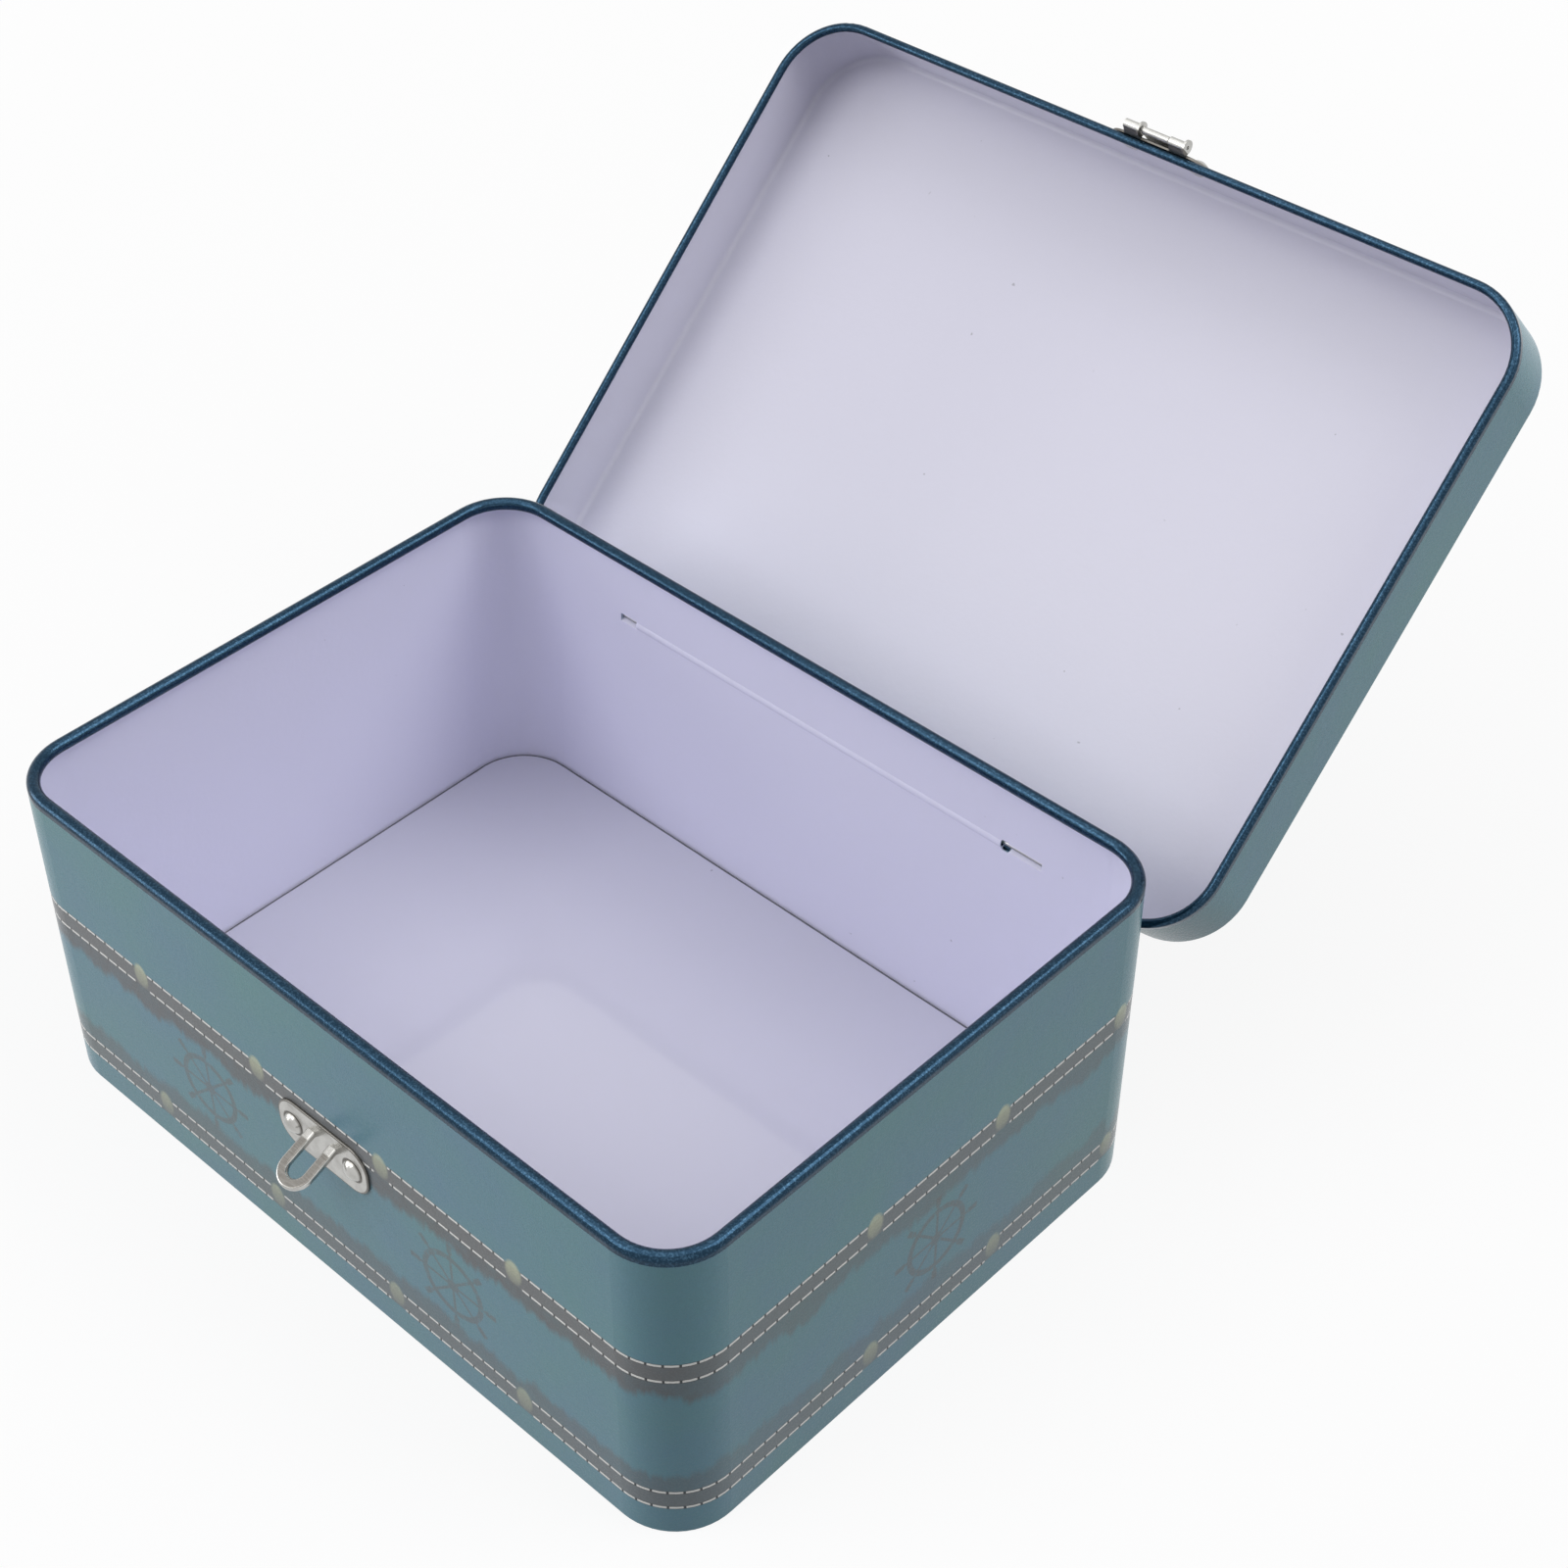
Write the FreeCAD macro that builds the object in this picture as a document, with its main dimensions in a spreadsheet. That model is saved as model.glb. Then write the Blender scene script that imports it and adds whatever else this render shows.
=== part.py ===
"""A tinplate storage box with a hinged lid, stood open as photographed.

Millimetres, Z up. The origin is the middle of the base, +Y is the hinge side and -Y the catch side.
The lid and its hasp are drawn closed about the hinge axis, then turned open by their placement.
"""
import FreeCAD
import Part
import Sketcher
import math
import os
import re

SIZES = {
    # The body's sleeve of tinplate
    "body_width": 200.0,
    "body_depth": 146.2,
    "body_height": 83.2,
    "corner_radius": 15.0,
    "tin_gauge": 0.3,
    "rim_curl": 3.0,
    "curl_turn": 300.0,
    "fold_height": 1.5,
    "fold_play": 0.05,
    "fold_bend": 0.05,
    # The floor sheet, whose turned-down edge sits in the fold
    "floor_level": 2.1,
    "floor_edge_radius": 0.5,
    # The hinge: wire, pressed groove in the back wall and a pressed loop at each end, one short and one long
    "hinge_drop": 20.6,
    "hinge_offset": 0.8,
    "wire_diameter": 1.0,
    "wire_fit": 0.06,
    "wire_play": 0.3,
    "groove_length": 111.4,
    "groove_room": 0.3,
    "loop_length": 11.2,
    "short_loop": 5.3,
    "loop_splay": 25.0,
    "slit_width": 2.2,
    "slit_height": 2.9,
    "slit_corner": 0.6,
    # The lid
    "lid_open": 136.0,
    "lid_side_overhang": 2.45,
    "lid_back_overhang": 3.33,
    "lid_front_overhang": 3.64,
    "lid_curl": 2.1,
    "lid_rise": 2.4,
    "lid_gap": 0.3,
    "lid_edge_radius": 1.6,
    "tongue_fit": 0.05,
    "tongue_play": 0.5,
    # The catch on the front wall
    "catch_drop": 19.3,
    "latch_shift": 1.2,
    "plate_width": 27.8,
    "plate_height": 12.6,
    "plate_corner": 5.4,
    "plate_gauge": 0.6,
    "plate_edge": 0.25,
    "rivet_spread": 9.2,
    "rivet_shank": 2.2,
    "rivet_head": 5.2,
    "rivet_crown": 1.5,
    "rivet_tail": 3.6,
    "tail_thickness": 0.6,
    "rivet_fit": 0.05,
    "loop_root": 1.6,
    "loop_reach": 11.8,
    "loop_tilt": 24.0,
    "loop_span": 9.1,
    "loop_leg": 2.4,
    "loop_thick": 1.5,
    "loop_round": 0.5,
    # The hasp on the lid's front
    "leaf_lift": 5.5,
    "knuckle_drop": 2.2,
    "knuckle_out": 1.85,
    "knuckle_inner": 3.9,
    "knuckle_length": 4.7,
    "collar_diameter": 3.5,
    "collar_length": 0.5,
    "pin_diameter": 0.9,
    "pin_fit": 0.03,
    "pin_recess": 0.4,
    "flap_gauge": 0.3,
    "flap_fit": 0.05,
    "flap_play": 0.35,
    "flap_width": 12.6,
    "flap_shoulder": 3.4,
    "flap_corner": 2.0,
    "flap_border": 2.2,
    "slot_play": 0.35,
    "slot_head": 2.0,
    "slot_height": 6.4,
    "slot_corner": 1.0,
    # One length past a face, for every cut
    "cut_overrun": 5.0,
}

doc = FreeCAD.newDocument("tin_box")
sheet = doc.addObject("Spreadsheet::Sheet", "Sizes")
for row, (size_name, size) in enumerate(SIZES.items(), start=1):
    sheet.set(f"A{row}", size_name)
    sheet.set(f"B{row}", str(size))
    sheet.setAlias(f"B{row}", size_name)
doc.recompute()


# Sums of named sizes that several pieces share
HALF_WIDTH = "body_width / 2"
HALF_DEPTH = "body_depth / 2"
RIM_RADIUS = "rim_curl / 2"
FOLD_WIDTH = "(3 * tin_gauge + 2 * fold_play)"
FOLD_BEND = "(fold_bend + tin_gauge)"
WIRE_RADIUS = "wire_diameter / 2"
HINGE_Y = f"({HALF_DEPTH} + hinge_offset)"
HINGE_Z = "(body_height - hinge_drop)"
CATCH_Z = f"({HINGE_Z} - catch_drop)"
LOOP_BORE = f"({WIRE_RADIUS} + wire_fit)"
LOOP_OUTER = f"({LOOP_BORE} + tin_gauge)"
TONGUE_BORE = f"({WIRE_RADIUS} + tongue_fit)"
TONGUE_OUTER = f"({TONGUE_BORE} + tin_gauge)"
GROOVE_END = "(groove_length / 2)"
GROOVE_BORE = f"({TONGUE_OUTER} + groove_room)"
GROOVE_OUTER = f"({GROOVE_BORE} + tin_gauge)"
WALL_MIDDLE = f"({HALF_DEPTH} - tin_gauge / 2)"
LID_RADIUS = "lid_curl / 2"
LID_SIDE = f"({HALF_WIDTH} + lid_side_overhang)"
LID_BACK = "(lid_back_overhang - hinge_offset)"
LID_FRONT = "(-hinge_offset - body_depth - lid_front_overhang)"
LID_CORNER = "(corner_radius + lid_side_overhang)"
LID_TOP = "(hinge_drop + lid_gap + tin_gauge)"
RIM_Y = f"(lid_back_overhang - {LID_RADIUS} - hinge_offset)"
RIM_RUN = f"sqrt({RIM_Y} ^ 2 + lid_rise ^ 2)"
LEAF_Z = "(lid_rise + leaf_lift)"
KNUCKLE_Y = f"({LID_FRONT} - knuckle_out)"
KNUCKLE_Z = "(lid_rise - knuckle_drop)"
KNUCKLE_BORE = "(pin_diameter / 2 + pin_fit)"
KNUCKLE_OUTER = f"({KNUCKLE_BORE} + plate_gauge)"
KNUCKLE_END = "(knuckle_inner + knuckle_length)"
FLAP_BORE = "(pin_diameter / 2 + flap_fit)"
FLAP_OUTER = f"({FLAP_BORE} + flap_gauge)"
FLAP_NECK = "(knuckle_inner - flap_play)"
LOOP_AXIS = "((loop_span - loop_leg) / 2)"
LOOP_ROOT_Z = f"({CATCH_Z} + loop_root)"
FLAP_AHEAD = f"(lid_front_overhang + knuckle_out + {FLAP_BORE} + flap_gauge / 2 - plate_gauge)"
LOOP_AT_FLAP = f"({LOOP_ROOT_Z} - {FLAP_AHEAD} * tan(loop_tilt * 1 deg))"
SLOT_TOP = f"({HINGE_Z} + {KNUCKLE_Z} - {LOOP_AT_FLAP} - slot_head)"
SLOT_END = f"({SLOT_TOP} + slot_height)"
FLAP_END = f"({SLOT_END} + flap_border)"
COS_OPEN = "cos(lid_open * 1 deg)"
SIN_OPEN = "sin(lid_open * 1 deg)"


def bound(text):
    """The sheet's expression for a sum of size names."""
    return re.sub(r"\b[a-z]+(_[a-z]+)+\b", lambda found: "Sizes." + found.group(0), text)


def tie(item, prop, text):
    """Binds a property of an object to a sum of size names."""
    item.setExpression(prop, bound(text))


def new_body(label):
    body = doc.addObject("PartDesign::Body", label)
    body.Label = label
    return body


def plane_of(body, role):
    return next(item for item in body.Origin.OriginFeatures if item.Role == role)


def new_sketch(body, name, role, offset="0"):
    """A sketch on an origin plane of its body, moved along the plane's normal by an offset."""
    sketch = body.newObject("Sketcher::SketchObject", name)
    sketch.AttachmentSupport = [(plane_of(body, role), "")]
    sketch.MapMode = "FlatFace"
    if offset != "0":
        tie(sketch, "AttachmentOffset.Base.z", offset)
    return sketch


def hold(sketch, kind, args, text):
    """Adds a sized constraint and binds it to a sum of size names."""
    size = sketch.evalExpression(bound(text))
    index = sketch.addConstraint(Sketcher.Constraint(kind, *args, size))
    tie(sketch, f"Constraints[{index}]", text)


def hold_point(sketch, edge, end, x, y):
    """Fixes a point of an edge at x, y; zero puts it on the axis."""
    for text, kind, axis in ((x, "DistanceX", -2), (y, "DistanceY", -1)):
        if text == "0":
            sketch.addConstraint(Sketcher.Constraint("PointOnObject", edge, end, axis))
        else:
            hold(sketch, kind, (-1, 1, edge, end), text)


def arc_between(start, end, radius, turn):
    """An arc from start to end, turning left or right, and long where it passes the half circle."""
    chord = end - start
    reach = math.sqrt(max(radius ** 2 - chord.Length ** 2 / 4, 0))
    side = FreeCAD.Vector(-chord.y, chord.x, 0) / chord.Length
    toward = 1 if turn in ("left", "right_long") else -1
    centre = (start + end) / 2 + side * reach * toward
    first, last = (start, end) if turn.startswith("left") else (end, start)
    angles = [math.atan2(p.y - centre.y, p.x - centre.x) for p in (first, last)]
    return Part.ArcOfCircle(Part.Circle(centre, FreeCAD.Vector(0, 0, 1), radius), *angles)


def draw(sketch, corners, closed=True):
    """Draws a chain of corners; (x, y) starts a line to the next one and (x, y, radius, turn) an arc."""
    count = len(corners)
    places = []
    for corner in corners:
        x, y = (sketch.evalExpression(bound(text)) for text in corner[:2])
        places.append(FreeCAD.Vector(x, y, 0))
    ends = []
    for i in range(count if closed else count - 1):
        start, end = places[i], places[(i + 1) % count]
        if len(corners[i]) == 2:
            edge = sketch.addGeometry(Part.LineSegment(start, end))
            ends.append((edge, 1, 2))
        else:
            radius = sketch.evalExpression(bound(corners[i][2]))
            edge = sketch.addGeometry(arc_between(start, end, radius, corners[i][3]))
            ends.append((edge, 1, 2) if corners[i][3].startswith("left") else (edge, 2, 1))
    for i, (edge, first, last) in enumerate(ends):
        if closed or i + 1 < len(ends):
            after = ends[(i + 1) % len(ends)]
            sketch.addConstraint(Sketcher.Constraint("Coincident", edge, last, after[0], after[1]))
    for corner, (edge, first, last) in zip(corners, ends):
        hold_point(sketch, edge, first, *corner[:2])
        if len(corner) > 2:
            hold(sketch, "Radius", (edge,), corner[2])
    if not closed:
        edge, first, last = ends[-1]
        hold_point(sketch, edge, last, *corners[-1][:2])


def draw_rounded(sketch, left, right, bottom, top, radius):
    """A rectangle with rounded corners."""
    draw(sketch, [
        (right, f"{bottom} + {radius}"),
        (right, f"{top} - {radius}", radius, "left"),
        (f"{right} - {radius}", top),
        (f"{left} + {radius}", top, radius, "left"),
        (left, f"{top} - {radius}"),
        (left, f"{bottom} + {radius}", radius, "left"),
        (f"{left} + {radius}", bottom),
        (f"{right} - {radius}", bottom, radius, "left"),
    ])


def draw_circle(sketch, x, y, radius):
    centre = FreeCAD.Vector(*(sketch.evalExpression(bound(text)) for text in (x, y)), 0)
    size = sketch.evalExpression(bound(radius))
    edge = sketch.addGeometry(Part.Circle(centre, FreeCAD.Vector(0, 0, 1), size))
    hold_point(sketch, edge, 3, x, y)
    hold(sketch, "Radius", (edge,), radius)


def extrude(body, kind, sketch, length, both_ways=False):
    """A Pad along the sketch's normal, or a Pocket against it, or either one half each way."""
    feature = body.newObject(f"PartDesign::{kind}", f"{sketch.Name}_{kind.lower()}")
    feature.Profile = sketch
    feature.Midplane = both_ways
    tie(feature, "Length", length)
    return feature


def pipe(body, name, profile, path):
    feature = body.newObject("PartDesign::AdditivePipe", name)
    feature.Profile = profile
    feature.Spine = (path, [])
    return feature


def mirror(body, name, features):
    """Mirrors features across the middle plane of the width."""
    feature = body.newObject("PartDesign::Mirrored", name)
    feature.Originals = features
    feature.MirrorPlane = (plane_of(body, "YZ_Plane"), [""])
    body.Tip = feature
    return feature


def names_at(feature, kind, axis, level):
    """Names of the feature's faces or edges that lie wholly at one level of an axis."""
    items = feature.Shape.Faces if kind == "Face" else feature.Shape.Edges
    names = []
    for i, item in enumerate(items, start=1):
        ends = [getattr(item.BoundBox, axis + end) for end in ("Min", "Max")]
        if all(math.isclose(value, level, abs_tol=1e-6) for value in ends):
            names.append(f"{kind}{i}")
    return names


def round_edges(body, base, name, axis, level, radius):
    """Rounds every edge of a feature that lies wholly at one level of an axis."""
    doc.recompute()
    rounding = body.newObject("PartDesign::Fillet", name)
    rounding.Base = (base, names_at(base, "Edge", axis, body.evalExpression(bound(level))))
    tie(rounding, "Radius", radius)
    doc.recompute()
    return rounding


def drawn_pan(body, name, outline, bottom, top, edge_radius):
    """A sheet drawn to a pan with a rounded edge: flat top, open below."""
    sketch = new_sketch(body, f"{name}_outline", "XY_Plane", bottom)
    draw_rounded(sketch, *outline)
    block = extrude(body, "Pad", sketch, f"{top} - {bottom}")
    rounding = round_edges(body, block, f"{name}_edge", "Z", top, edge_radius)
    shell = body.newObject("PartDesign::Thickness", f"{name}_shell")
    shell.Base = (rounding, names_at(rounding, "Face", "Z", body.evalExpression(bound(bottom))))
    shell.Reversed = True
    tie(shell, "Value", "tin_gauge")
    doc.recompute()
    return shell


def place(item, x, y, z, angle="0"):
    """Stands a piece at x, y, z, turned about the X axis."""
    item.Placement = FreeCAD.Placement(FreeCAD.Vector(), FreeCAD.Rotation(FreeCAD.Vector(1, 0, 0), 1))
    for axis, text in zip("xyz", (x, y, z)):
        tie(item, f"Placement.Base.{axis}", text)
    tie(item, "Placement.Rotation.Angle", angle)


def place_on_lid(item, x, y, z):
    """Stands a piece at a point of the closed lid, measured from its hinge, and opens it with the lid."""
    place(item, x, f"{HINGE_Y} + {y} * {COS_OPEN} + {z} * {SIN_OPEN}",
          f"{HINGE_Z} - {y} * {SIN_OPEN} + {z} * {COS_OPEN}", "-lid_open")


def rivet_pair(label):
    """Two rivets side by side: domed head on the face of the plate, shank and clinched tail behind it."""
    body = new_body(label)
    half = new_sketch(body, f"{label}_half", "XY_Plane")
    stack = "(plate_gauge + tin_gauge)"
    cap = "((rivet_head / 2) ^ 2 + rivet_crown ^ 2) / (2 * rivet_crown)"
    draw(half, [
        ("0", "-rivet_crown", cap, "left"),
        ("rivet_head / 2", "0"),
        ("rivet_shank / 2", "0"),
        ("rivet_shank / 2", stack),
        ("rivet_tail / 2", stack),
        ("rivet_tail / 2", f"{stack} + tail_thickness"),
        ("0", f"{stack} + tail_thickness"),
    ])
    one = body.newObject("PartDesign::Revolution", f"{label}_one")
    one.Profile = half
    one.ReferenceAxis = (half, ["V_Axis"])
    one.Angle = 360
    doc.recompute()
    pair = body.newObject("PartDesign::LinearPattern", f"{label}_pair")
    pair.Originals = [one]
    pair.Direction = (half, ["H_Axis"])
    pair.Occurrences = 2
    tie(pair, "Length", "2 * rivet_spread")
    body.Tip = pair
    return body


def rivet_holes(body, name, ahead, height, across="0"):
    """Two holes through a sheet that faces -Y, its face the given distance ahead of the body's origin."""
    sketch = new_sketch(body, name, "XZ_Plane", f"{ahead} + cut_overrun")
    for side in "-+":
        draw_circle(sketch, f"{across} {side} rivet_spread", height, "rivet_shank / 2 + rivet_fit")
    return extrude(body, "Pocket", sketch, "2 * cut_overrun")


def riveted_plate(body, name, ahead, height):
    """The round-ended plate shared by the catch and the hasp, with its two holes."""
    sketch = new_sketch(body, f"{name}_outline", "XZ_Plane", ahead)
    draw_rounded(sketch, "-plate_width / 2", "plate_width / 2",
                 f"{height} - plate_height / 2", f"{height} + plate_height / 2", "plate_corner")
    plate = extrude(body, "Pad", sketch, "plate_gauge")
    round_edges(body, plate, f"{name}_edge", "Y", f"-({ahead} + plate_gauge)", "plate_edge")
    rivet_holes(body, f"{name}_holes", ahead, height)


def trough_outline(radius, mouth):
    """A trough round the hinge axis whose sides splay out to a mouth at the given y."""
    side_y = f"({HINGE_Y} + {radius} * sin(loop_splay * 1 deg))"
    side_z = f"{radius} * cos(loop_splay * 1 deg)"
    mouth_z = f"({side_z} + ({side_y} - {mouth}) * tan(loop_splay * 1 deg))"
    return [
        (mouth, f"{HINGE_Z} - {mouth_z}"),
        (side_y, f"{HINGE_Z} - {side_z}", radius, "left"),
        (f"{HINGE_Y} + {radius}", HINGE_Z, radius, "left"),
        (side_y, f"{HINGE_Z} + {side_z}"),
        (mouth, f"{HINGE_Z} + {mouth_z}"),
    ]


# The wall: one profile with the curled rim above and the fold below, led round the rounded outline
wall = new_body("body_wall")
wall_path = new_sketch(wall, "wall_path", "XY_Plane")
draw_rounded(wall_path, f"-{HALF_WIDTH}", HALF_WIDTH, f"-{HALF_DEPTH}", HALF_DEPTH, "corner_radius")
wall_profile = new_sketch(wall, "wall_profile", "XZ_Plane")
rim_x = f"{HALF_WIDTH} - {RIM_RADIUS}"
rim_z = f"body_height - {RIM_RADIUS}"
rim_inner = f"({RIM_RADIUS} - tin_gauge)"
fold_x = f"{HALF_WIDTH} - {FOLD_WIDTH}"
turn_cos = "cos(curl_turn * 1 deg)"
turn_sin = "sin(curl_turn * 1 deg)"
draw(wall_profile, [
    (HALF_WIDTH, FOLD_BEND),
    (HALF_WIDTH, rim_z, RIM_RADIUS, "left_long"),
    (f"{rim_x} + {RIM_RADIUS} * {turn_cos}", f"{rim_z} + {RIM_RADIUS} * {turn_sin}"),
    (f"{rim_x} + {rim_inner} * {turn_cos}", f"{rim_z} + {rim_inner} * {turn_sin}", rim_inner, "right_long"),
    (f"{HALF_WIDTH} - tin_gauge", rim_z),
    (f"{HALF_WIDTH} - tin_gauge", FOLD_BEND, "fold_bend", "right"),
    (f"{HALF_WIDTH} - {FOLD_BEND}", "tin_gauge"),
    (f"{fold_x} + {FOLD_BEND}", "tin_gauge", "fold_bend", "right"),
    (f"{fold_x} + tin_gauge", FOLD_BEND),
    (f"{fold_x} + tin_gauge", "fold_height"),
    (fold_x, "fold_height"),
    (fold_x, FOLD_BEND, FOLD_BEND, "left"),
    (f"{fold_x} + {FOLD_BEND}", "0"),
    (f"{HALF_WIDTH} - {FOLD_BEND}", "0", FOLD_BEND, "left"),
])
pipe(wall, "wall_sleeve", wall_profile, wall_path)

# The hinge groove, pressed into the box behind the lid's tongue
ridge = new_sketch(wall, "groove_ridge", "YZ_Plane")
ridge_half = f"sqrt({GROOVE_OUTER} ^ 2 - (hinge_offset + tin_gauge / 2) ^ 2)"
draw(ridge, [
    (WALL_MIDDLE, f"{HINGE_Z} - {ridge_half}", GROOVE_OUTER, "right"),
    (WALL_MIDDLE, f"{HINGE_Z} + {ridge_half}"),
])
extrude(wall, "Pad", ridge, "groove_length", both_ways=True)
groove = new_sketch(wall, "groove_bore", "YZ_Plane")
draw_circle(groove, HINGE_Y, HINGE_Z, GROOVE_BORE)
extrude(wall, "Pocket", groove, "groove_length", both_ways=True)

# The loops at the groove's ends, pressed outward round the wire, open to the inside and closed past its ends
short_end = f"(-{GROOVE_END} - short_loop)"
for loop_name, shell_start, trough_end, length in (
        ("long", GROOVE_END, f"{GROOVE_END} + loop_length", "loop_length"),
        ("short", f"{short_end} - tin_gauge", f"-{GROOVE_END}", "short_loop")):
    shell = new_sketch(wall, f"{loop_name}_shell", "YZ_Plane", shell_start)
    draw(shell, trough_outline(LOOP_OUTER, WALL_MIDDLE))
    extrude(wall, "Pad", shell, f"{length} + tin_gauge")
    trough = new_sketch(wall, f"{loop_name}_trough", "YZ_Plane", trough_end)
    draw(trough, trough_outline(LOOP_BORE, f"({HALF_DEPTH} - cut_overrun)"))
    extrude(wall, "Pocket", trough, length)

# The slit that the long loop was pressed out from, across the groove's end
slit = new_sketch(wall, "loop_slit", "XZ_Plane", f"cut_overrun - {HALF_DEPTH}")
draw_rounded(slit, GROOVE_END, f"({GROOVE_END} + slit_width)", f"({HINGE_Z} - slit_height / 2)",
             f"({HINGE_Z} + slit_height / 2)", "slit_corner")
extrude(wall, "Pocket", slit, "2 * cut_overrun")
rivet_holes(wall, "catch_holes", HALF_DEPTH, CATCH_Z, "latch_shift")

# The floor, with its turned-down edge standing in the wall's fold
floor = new_body("floor_pan")
floor_inset = "(tin_gauge + fold_play)"
floor_x = f"({HALF_WIDTH} - {floor_inset})"
floor_y = f"({HALF_DEPTH} - {floor_inset})"
floor_outline = (f"-{floor_x}", floor_x, f"-{floor_y}", floor_y, f"(corner_radius - {floor_inset})")
drawn_pan(floor, "floor", floor_outline, "tin_gauge", "floor_level", "floor_edge_radius")

# The hinge wire, straight, from loop to loop
wire = doc.addObject("Part::Cylinder", "hinge_wire")
wire.Label = "hinge_wire"
tie(wire, "Radius", WIRE_RADIUS)
tie(wire, "Height", "groove_length + loop_length + short_loop - 2 * wire_play")
wire.Placement = FreeCAD.Placement(FreeCAD.Vector(), FreeCAD.Rotation(FreeCAD.Vector(0, 1, 0), 90))
for axis, text in zip("xyz", (f"{short_end} + wire_play", HINGE_Y, HINGE_Z)):
    tie(wire, f"Placement.Base.{axis}", text)

# The lid: a drawn pan with its rim curled in, and the tongue curled round the wire
lid = new_body("lid_shell")
lid_outline = (f"-{LID_SIDE}", LID_SIDE, LID_FRONT, LID_BACK, LID_CORNER)
drawn_pan(lid, "lid", lid_outline, "lid_rise", LID_TOP, "lid_edge_radius")
lid_path = new_sketch(lid, "lid_path", "XY_Plane", "lid_rise")
draw_rounded(lid_path, *lid_outline)
lid_curl = new_sketch(lid, "lid_curl_profile", "XZ_Plane", f"hinge_offset + {HALF_DEPTH}")
curl_x = f"{LID_SIDE} - {LID_RADIUS}"
curl_inner = f"({LID_RADIUS} - tin_gauge)"
draw(lid_curl, [
    (LID_SIDE, "lid_rise", LID_RADIUS, "right_long"),
    (f"{curl_x} + {LID_RADIUS} * {turn_cos}", f"lid_rise - {LID_RADIUS} * {turn_sin}"),
    (f"{curl_x} + {curl_inner} * {turn_cos}", f"lid_rise - {curl_inner} * {turn_sin}",
     curl_inner, "left_long"),
    (f"{LID_SIDE} - tin_gauge", "lid_rise"),
])
pipe(lid, "lid_rim", lid_curl, lid_path)
tongue_length = "groove_length - 2 * tongue_play"
neck = new_sketch(lid, "tongue_neck", "YZ_Plane")
neck_low = f"({TONGUE_OUTER} - tin_gauge / 2) / {RIM_RUN}"
neck_high = f"({RIM_RUN} - {LID_RADIUS} + tin_gauge / 2) / {RIM_RUN}"
neck_corners = []
for share, side in ((neck_low, "-"), (neck_low, "+"), (neck_high, "+"), (neck_high, "-")):
    other = "+" if side == "-" else "-"
    neck_corners.append((f"{share} * {RIM_Y} {side} lid_rise * tin_gauge / 2 / {RIM_RUN}",
                         f"{share} * lid_rise {other} {RIM_Y} * tin_gauge / 2 / {RIM_RUN}"))
draw(neck, neck_corners)
extrude(lid, "Pad", neck, tongue_length, both_ways=True)
eye = new_sketch(lid, "tongue_eye", "YZ_Plane")
draw_circle(eye, "0", "0", TONGUE_OUTER)
draw_circle(eye, "0", "0", TONGUE_BORE)
extrude(lid, "Pad", eye, tongue_length, both_ways=True)
rivet_holes(lid, "hasp_holes", f"-{LID_FRONT}", LEAF_Z, "latch_shift")
place_on_lid(lid, "0", "0", "0")

# The catch: plate, loop and rivets on the front wall
catch = new_body("catch_plate")
riveted_plate(catch, "catch", HALF_DEPTH, CATCH_Z)
place(catch, "latch_shift", "0", "0")

loop = new_body("catch_loop")
loop_path = new_sketch(loop, "loop_path", "XY_Plane")
loop_turn = "-(loop_reach - loop_span / 2)"
draw(loop_path, [
    (f"-{LOOP_AXIS}", "loop_thick"),
    (f"-{LOOP_AXIS}", loop_turn, LOOP_AXIS, "left"),
    ("0", f"{loop_turn} - {LOOP_AXIS}", LOOP_AXIS, "left"),
    (LOOP_AXIS, loop_turn),
    (LOOP_AXIS, "loop_thick"),
], closed=False)
loop_profile = new_sketch(loop, "loop_profile", "XZ_Plane", "-loop_thick")
draw_rounded(loop_profile, f"-{LOOP_AXIS} - loop_leg / 2", f"-{LOOP_AXIS} + loop_leg / 2",
             "-loop_thick / 2", "loop_thick / 2", "loop_round")
pipe(loop, "loop_bar", loop_profile, loop_path)
foot = new_sketch(loop, "loop_foot", "YZ_Plane")
foot_y = "cut_overrun * sin(loop_tilt * 1 deg)"
foot_z = "cut_overrun * cos(loop_tilt * 1 deg)"
draw(foot, [
    (f"-{foot_y}", f"-{foot_z}"),
    (f"-{foot_y} + 2 * cut_overrun", f"-{foot_z}"),
    (f"{foot_y} + 2 * cut_overrun", foot_z),
    (foot_y, foot_z),
])
extrude(loop, "Pocket", foot, "loop_span + 2 * cut_overrun", both_ways=True)
place(loop, "latch_shift", f"-{HALF_DEPTH} - plate_gauge", LOOP_ROOT_Z, "loop_tilt")

catch_rivets = rivet_pair("catch_rivets")
place(catch_rivets, "latch_shift - rivet_spread", f"-{HALF_DEPTH} - plate_gauge", CATCH_Z)

# The hasp's leaf, with two knuckles rolled clear of the lid's face and a collar on the right end of each
leaf = new_body("hasp_base")
riveted_plate(leaf, "leaf", f"-{LID_FRONT}", LEAF_Z)
tab = new_sketch(leaf, "knuckle_tab", "YZ_Plane", "knuckle_inner")
leaf_low = f"{LEAF_Z} - plate_height / 2"
draw(tab, [
    (LID_FRONT, leaf_low),
    (f"{KNUCKLE_Y} + {KNUCKLE_OUTER}", KNUCKLE_Z),
    (f"{KNUCKLE_Y} + {KNUCKLE_BORE}", KNUCKLE_Z),
    (f"{LID_FRONT} - plate_gauge", leaf_low),
    (f"{LID_FRONT} - plate_gauge", f"{leaf_low} + plate_gauge"),
    (LID_FRONT, f"{leaf_low} + plate_gauge"),
])
tab_pad = extrude(leaf, "Pad", tab, "knuckle_length")
roll = new_sketch(leaf, "knuckle_roll", "YZ_Plane", "knuckle_inner")
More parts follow.
